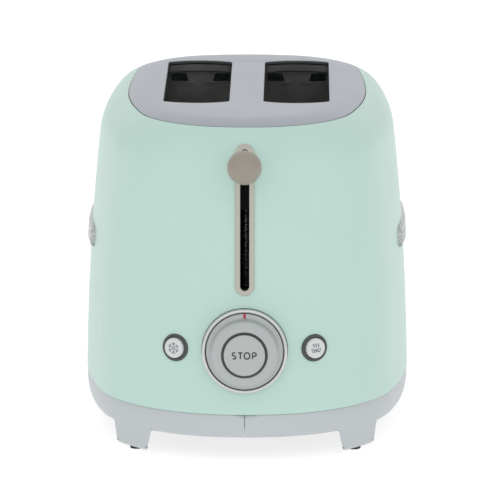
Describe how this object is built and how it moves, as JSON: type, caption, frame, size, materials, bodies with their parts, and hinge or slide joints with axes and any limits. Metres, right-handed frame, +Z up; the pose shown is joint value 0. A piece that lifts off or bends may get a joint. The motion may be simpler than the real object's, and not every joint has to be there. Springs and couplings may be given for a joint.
{
  "type": "pop-up toaster",
  "caption": "Retro pop-up toaster with a rounded enamelled casing, twin top slots, front ball lever, browning knob and push buttons on a footed base.",
  "frame": {"origin": "on the table, under the middle of the whole toaster's outline box", "axes": "+Z up; front, with the lever and knob, towards -Y; +Y along the bread slots to the rear; +X to the right seen from the front"},
  "size_m": [0.1948, 0.31, 0.198],
  "materials": {
    "casing_paint": "gloss mint enamel",
    "plate_metal": "satin silver-grey lacquer",
    "base_plastic": "satin silver-grey moulding",
    "trim_silver": "satin",
    "knob_silver": "satin silver finish",
    "button_white": "satin off-white",
    "collar_dark": "satin dark grey",
    "ball_taupe": "satin taupe",
    "pointer_red": "red",
    "badge_chrome": "polished",
    "pad_rubber": "matt",
    "chamber_steel": "aluminised sheet",
    "mechanism_steel": "zinc plated",
    "wire_steel": "bright wire",
    "mica": "mica sheet",
    "ribbon": "oxidised heating ribbon",
    "copper_coil": "enamelled copper",
    "board_green": "circuit board",
    "part_black": "moulded",
    "block_cream": "moulded"
  },
  "bodies": {
    "root": {"body_shell": "casing_paint", "top_plate": "plate_metal", "lever_slot_trim": "trim_silver", "knob_bezel": "knob_silver", "button_collars": "collar_dark", "side_badges": "badge_chrome", "base_skirt_left": "base_plastic", "base_skirt_right": "base_plastic", "base_pan": "part_black", "base_screws": "mechanism_steel", "foot_pads": "pad_rubber", "cord_wrap_posts": "base_plastic", "slot_liners": "chamber_steel", "chamber_end_front": "chamber_steel", "chamber_end_rear": "chamber_steel", "chamber_shields": "chamber_steel", "heater_board_left_outer": "mica", "heater_board_left_inner": "mica", "heater_board_right_inner": "mica", "heater_board_right_outer": "mica", "heater_ribbon_left_outer": "ribbon", "heater_ribbon_left_inner": "ribbon", "heater_ribbon_right_inner": "ribbon", "heater_ribbon_right_outer": "ribbon", "mechanism_frame": "mechanism_steel", "mechanism_screws": "mechanism_steel", "guide_rod": "mechanism_steel", "carriage_spring": "wire_steel", "electromagnet_core": "mechanism_steel", "electromagnet_coil": "copper_coil", "power_switch": "part_black", "potentiometer": "part_black", "control_board": "board_green", "button_switches": "part_black", "terminal_block": "block_cream", "cord_gland": "part_black"},
    "carriage": {"carriage_slider": "part_black", "carriage_bridge": "mechanism_steel", "lever_arm": "mechanism_steel", "lever_ball": "ball_taupe", "bread_rack_left": "wire_steel", "bread_rack_right": "wire_steel", "keeper_plate": "mechanism_steel"},
    "bread_guide_left_outer": {"bread_guide_left_outer": "wire_steel"},
    "bread_guide_left_inner": {"bread_guide_left_inner": "wire_steel"},
    "bread_guide_right_inner": {"bread_guide_right_inner": "wire_steel"},
    "bread_guide_right_outer": {"bread_guide_right_outer": "wire_steel"},
    "browning_knob": {"browning_knob": "knob_silver", "knob_pointer": "pointer_red", "stop_ring": "collar_dark", "knob_shaft": "mechanism_steel"},
    "stop_button": {"stop_button": "knob_silver"},
    "defrost_button": {"defrost_button": "button_white"},
    "reheat_button": {"reheat_button": "button_white"},
    "crumb_tray": {"crumb_tray": "wire_steel", "tray_grip": "base_plastic"}
  },
  "joints": [
    {"name": "lever_slide", "type": "slide", "parent": "root", "child": "carriage", "axis": [0, 0, -1], "range_m": [0, 0.072], "stiffness_N_per_m": 70, "springref_m": -0.05, "deforming": ["carriage_spring"]},
    {"name": "guide_tilt_left_outer", "type": "hinge", "parent": "root", "child": "bread_guide_left_outer", "pos_m": [-0.0453, 0.02387, 0.05], "axis": [0, 1, 0], "range_deg": [0, 5.2]},
    {"name": "guide_tilt_left_inner", "type": "hinge", "parent": "root", "child": "bread_guide_left_inner", "pos_m": [-0.0143, 0.02387, 0.05], "axis": [0, -1, 0], "range_deg": [0, 5.2]},
    {"name": "guide_tilt_right_inner", "type": "hinge", "parent": "root", "child": "bread_guide_right_inner", "pos_m": [0.0143, 0.02387, 0.05], "axis": [0, 1, 0], "range_deg": [0, 5.2]},
    {"name": "guide_tilt_right_outer", "type": "hinge", "parent": "root", "child": "bread_guide_right_outer", "pos_m": [0.0453, 0.02387, 0.05], "axis": [0, -1, 0], "range_deg": [0, 5.2]},
    {"name": "browning_turn", "type": "hinge", "parent": "root", "child": "browning_knob", "pos_m": [0, -0.1338, 0.067], "axis": [0, -0.9993, 0.038], "range_deg": [-135, 135]},
    {"name": "stop_press", "type": "slide", "parent": "root", "child": "stop_button", "axis": [0, 0.9993, -0.038], "range_m": [0, 0.0018], "stiffness_N_per_m": 400, "springref_m": -0.001},
    {"name": "defrost_press", "type": "slide", "parent": "root", "child": "defrost_button", "axis": [0.4266, 0.9036, -0.038], "range_m": [0, 0.0015], "stiffness_N_per_m": 400, "springref_m": -0.001},
    {"name": "reheat_press", "type": "slide", "parent": "root", "child": "reheat_button", "axis": [-0.4266, 0.9036, -0.038], "range_m": [0, 0.0015], "stiffness_N_per_m": 400, "springref_m": -0.001},
    {"name": "tray_slide", "type": "slide", "parent": "root", "child": "crumb_tray", "axis": [0, 1, 0], "range_m": [0, 0.19]}
  ],
  "couplings": [
    {"joint": "guide_tilt_left_outer", "follows": "lever_slide", "rad_per_m": 1.212},
    {"joint": "guide_tilt_left_inner", "follows": "lever_slide", "rad_per_m": 1.212},
    {"joint": "guide_tilt_right_inner", "follows": "lever_slide", "rad_per_m": 1.212},
    {"joint": "guide_tilt_right_outer", "follows": "lever_slide", "rad_per_m": 1.212}
  ]
}
